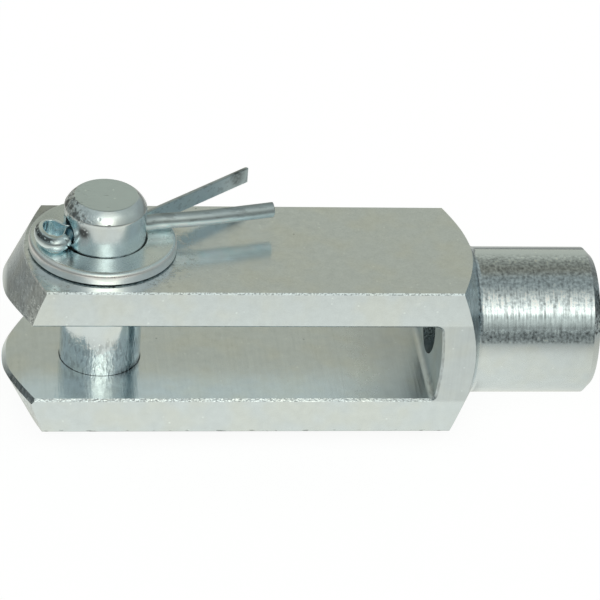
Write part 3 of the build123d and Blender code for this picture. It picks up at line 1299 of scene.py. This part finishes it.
@dataclass
class Studio:
    """Pale floor, soft sky, and the camera."""

    sky: Sky = field(default_factory=Sky)
    target: Point = (24.0 * MM, 0.0, 0.0)
    azimuth: float = -8.565
    elevation: float = 32.538
    roll: float = 4.807
    distance: float = 379.526 * MM
    aim_right: float = 0.12 * MM
    aim_up: float = 2.282 * MM
    lens: float = 186.416
    sensor_width: float = 36.0
    clip: tuple[float, float] = (0.01, 50.0)
    floor_size: float = 8.0
    floor_grey: Colour = (0.9, 0.9, 0.9)
    white_level: float = 1.2
    white_share: float = 0.75
    # What the plating sees of the floor: a lit pool round the object's length. Its levels go by
    # reach / (reach + pool_half), and its steps are in millimetres
    pool: Levels = ((0.0, 0.79), (0.25, 0.79), (0.29, 0.75), (0.34, 0.70), (0.41, 0.66),
                    (0.50, 0.60), (0.615, 0.51), (0.75, 0.42), (0.87, 0.33), (1.0, 0.22))
    pool_tint: Colour = (1.0, 1.0, 0.915)
    pool_half: float = 100.0
    middle_x: float = 25.0
    half_length: float = 25.0
    left_end: Step = (-20.0, -110.0, 1.0, 0.64)
    right_end: Step = (40.0, 105.0, 1.0, 0.62)
    behind: Step = (5.0, 28.0, 1.0, 0.86)
    # A painted shadow under the object, in the floor as the plating sees it
    under: Step = (5.0, 11.0, 0.35, 1.0)
    under_shank: Step = (44.0, 48.0)
    bounces: int = 12

    def axes(self) -> tuple[Vector, Vector, Vector]:
        """Works out which way the camera faces.

        Returns:
            Its right, up and back directions before its roll.
        """
        turn, lift = math.radians(self.azimuth), math.radians(self.elevation)
        back = Vector((math.sin(turn) * math.cos(lift), -math.cos(turn) * math.cos(lift),
                       math.sin(lift)))
        right = Vector((math.cos(turn), math.sin(turn), 0.0))
        return right, back.cross(right), back

    def camera(self) -> bpy.types.Object:
        """Makes the scene's camera.

        Returns:
            The camera.
        """
        right, up, back = self.axes()
        roll = math.radians(self.roll)
        rolled_right = right * math.cos(roll) + up * math.sin(roll)
        rolled_up = up * math.cos(roll) - right * math.sin(roll)
        data = bpy.data.cameras.new("camera")
        data.sensor_width = self.sensor_width
        data.lens = self.lens
        data.clip_start, data.clip_end = self.clip
        made = bpy.data.objects.new("camera", data)
        bpy.context.scene.collection.objects.link(made)
        aim = Vector(self.target) + right * self.aim_right + up * self.aim_up
        turned = Matrix((rolled_right, rolled_up, back)).transposed().to_4x4()
        made.matrix_world = Matrix.Translation(aim + back * self.distance) @ turned
        bpy.context.scene.camera = made
        return made

    def world(self) -> None:
        """Paints the soft sky, which the camera itself sees as white."""
        world = bpy.data.worlds.new("studio")
        world.use_nodes = True
        bpy.context.scene.world = world
        graph = Graph(world.node_tree)
        sky = self.sky.paint(graph, graph.node("TexCoord").outputs["Generated"])
        seen = graph.node("LightPath").outputs["Is Camera Ray"]
        shader = graph.node("Background", {"Color": graph.mix(seen, sky, rgba(WHITE))})
        graph.node("OutputWorld", {"Surface": shader.outputs[0]})

    def mirrored(self, graph: Graph) -> Socket:
        """Returns the floor's colour as the plating sees it.

        Args:
            graph: the floor's graph.

        Returns:
            A painted pool of light round the object, darker past its ends and behind it, with a
            painted shadow under it.
        """
        place = graph.scaled(graph.node("TexCoord").outputs["Object"], 1 / MM)
        x, y, _ = graph.parts(place)
        past = graph.unsigned(graph.add(x, -self.middle_x))
        along = graph.most(graph.math("SUBTRACT", past, self.half_length), 0.0)
        reach = graph.distance(along, y)
        share = graph.math("DIVIDE", reach, graph.add(reach, self.pool_half))
        ends = graph.times(graph.span(x, *self.left_end), graph.span(x, *self.right_end))
        # painted shadow under the object
        under = graph.most(graph.span(reach, *self.under), graph.span(x, *self.under_shank))
        return graph.scaled(graph.ramp(share, self.pool, self.pool_tint),
                            graph.times(ends, graph.span(y, *self.behind), under))

    def floor(self) -> bpy.types.Object:
        """Lays the pale floor under the object's lowest point.

        Returns:
            The floor.
        """
        deselect_all()
        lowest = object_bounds()[0].z
        bpy.ops.mesh.primitive_plane_add(size=self.floor_size, location=(0, 0, lowest))
        made = named("floor")
        material = bpy.data.materials.new("pale_floor")
        material.use_nodes = True
        graph = Graph(material.node_tree)
        path = graph.node("LightPath")
        matt = graph.node("BsdfDiffuse", {"Color": rgba(self.floor_grey)})
        mirrored = graph.node("Emission", {"Color": self.mirrored(graph)})
        white = graph.node("Emission", {"Color": rgba(WHITE), "Strength": self.white_level})
        whiteness = graph.times(path.outputs["Is Camera Ray"], self.white_share)
        seen = graph.node("MixShader", {0: whiteness, 1: matt.outputs[0], 2: white.outputs[0]})
        surface = graph.node("MixShader", {0: path.outputs["Is Glossy Ray"],
                                           1: seen.outputs[0], 2: mirrored.outputs[0]})
        graph.node("OutputMaterial", {"Surface": surface.outputs[0]})
        made.data.materials.append(material)
        made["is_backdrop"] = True
        return made

    def build(self) -> None:
        """Sets up the studio, and lets light reflect often enough between the plated faces."""
        bpy.context.scene.cycles.glossy_bounces = self.bounces
        bpy.context.scene.view_settings.view_transform = "Standard"
        self.world()
        self.floor()
        self.camera()


# ---------------------------------------------------------------- whole part


def dress(node: str, material: bpy.types.Material) -> None:
    """Gives a CAD node its finish.

    Args:
        node: the node's name.
        material: its finish.
    """
    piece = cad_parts[node]
    piece.data.materials.clear()
    piece.data.materials.append(material)
    LOG.info("dressed %s with %s", node, material.name)


def main() -> None:
    """Builds and dresses each piece in order, then the studio round them."""
    logging.basicConfig(level=logging.INFO, format="%(message)s")
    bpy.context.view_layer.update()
    steel = ForkSteel("fork_plating").build()
    dress("clevis_body", steel)
    dress("clevis_pin", PinSteel("pin_plating").build())
    dress("washer", WasherSteel("washer_plating").build())
    dress("split_pin", WireSteel("split_pin_plating").build())
    thread = RodThread().build()
    thread.data.materials.append(steel)
    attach(thread, "fork")
    LOG.info("added %s", thread.name)
    Studio().build()
    LOG.info("built the studio and wrote the sizes")


if __name__ == "__main__":
    main()
